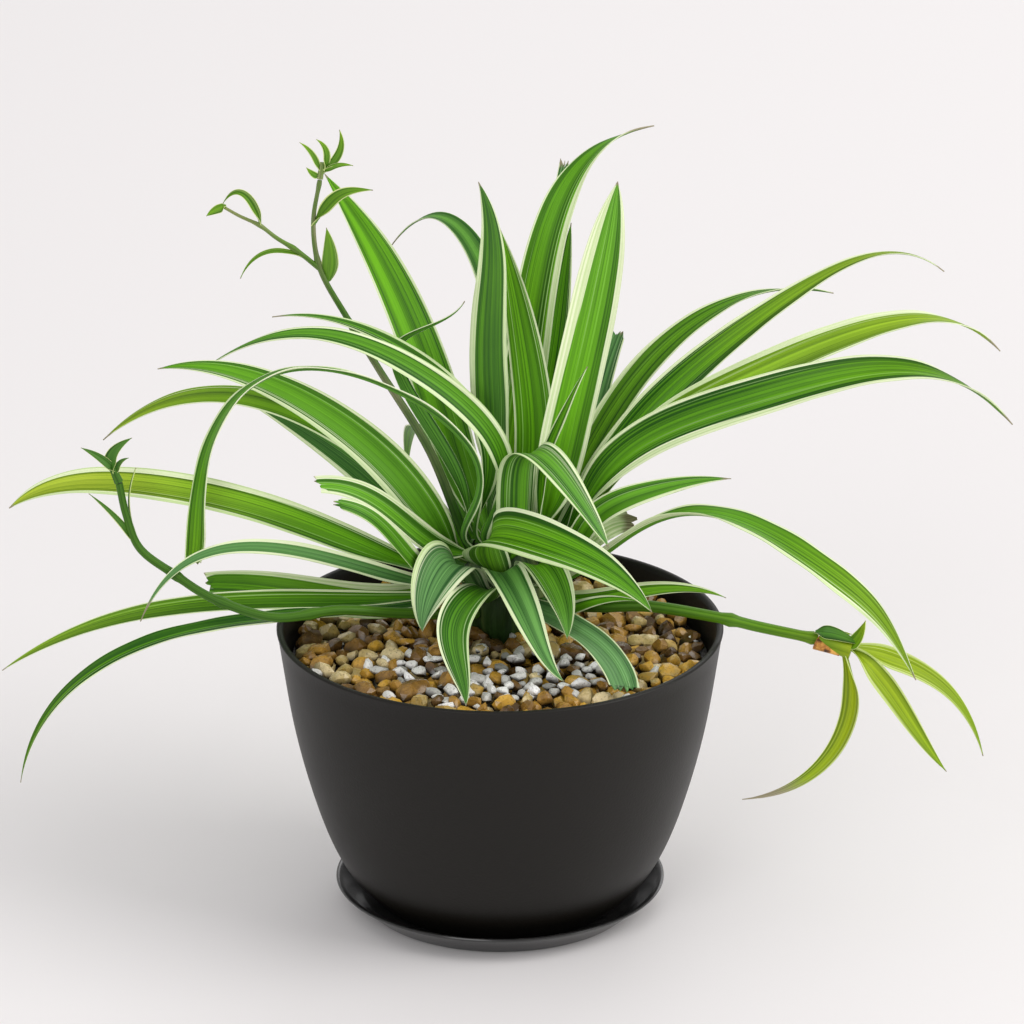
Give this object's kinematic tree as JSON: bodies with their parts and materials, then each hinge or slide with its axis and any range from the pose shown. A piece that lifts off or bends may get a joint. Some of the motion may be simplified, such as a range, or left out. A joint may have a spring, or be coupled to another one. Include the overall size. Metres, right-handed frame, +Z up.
{
  "type": "potted spider plant",
  "caption": "Spider plant with arching green leaves edged in cream and three runners, in a tapered round pot with stones on the soil and a shallow saucer.",
  "frame": {"origin": "middle of the saucer's underside, on the surface that the saucer stands on", "axes": "+Z up; -Y towards the front of the plant, the side the picture shows; +X to the right of the front"},
  "size_m": [0.3019, 0.1994, 0.2292],
  "materials": {
    "saucer": "black, glossy",
    "pot": "charcoal black, satin matt",
    "soil": "dark potting mix, rough",
    "gravel_brown": "tan, ochre and brown pebbles, worn smooth",
    "gravel_white": "white and grey chips",
    "crown": "dark green leaf bases, as living tissue",
    "leaf": "living leaf, green with cream margins, satin",
    "runner": "living stem, dark olive green",
    "plantlet": "living young leaf, yellow green"
  },
  "bodies": {
    "root": {"crown": "crown", "gravel_brown": "gravel_brown", "gravel_white": "gravel_white", "leaf_back_1": "leaf", "leaf_back_2": "leaf", "leaf_back_3": "leaf", "leaf_back_4": "leaf", "leaf_back_5": "leaf", "leaf_back_6": "leaf", "leaf_back_7": "leaf", "leaf_back_hook": "leaf", "leaf_back_left": "leaf", "leaf_behind_broad": "leaf", "leaf_broad_right": "leaf", "leaf_curl_back": "leaf", "leaf_dry_sheath": "leaf", "leaf_front_big": "leaf", "leaf_front_centre": "leaf", "leaf_front_dark": "leaf", "leaf_front_fold": "leaf", "leaf_front_over": "leaf", "leaf_front_small": "leaf", "leaf_front_torn": "leaf", "leaf_left_arch": "leaf", "leaf_left_blunt": "leaf", "leaf_left_bright": "leaf", "leaf_left_dark": "leaf", "leaf_left_far": "leaf", "leaf_left_hook": "leaf", "leaf_left_long": "leaf", "leaf_left_low": "leaf", "leaf_left_pale": "leaf", "leaf_left_reach": "leaf", "leaf_left_short": "leaf", "leaf_left_stub": "leaf", "leaf_left_sweep": "leaf", "leaf_right_drop": "leaf", "leaf_right_high": "leaf", "leaf_right_low": "leaf", "leaf_right_narrow": "leaf", "leaf_right_near": "leaf", "leaf_right_olive": "leaf", "leaf_right_short": "leaf", "leaf_right_wide": "leaf", "leaf_small_front": "leaf", "leaf_tall_blunt": "leaf", "leaf_tall_dark": "leaf", "leaf_tall_right": "leaf", "leaf_upright_front": "leaf", "leaf_upright_middle": "leaf", "plantlet_left": "runner", "plantlet_right": "plantlet", "plantlet_top": "plantlet", "pot": "pot", "runner_left": "runner", "runner_right": "runner", "runner_top": "runner", "saucer": "saucer", "soil": "soil"}
  },
  "joints": []
}
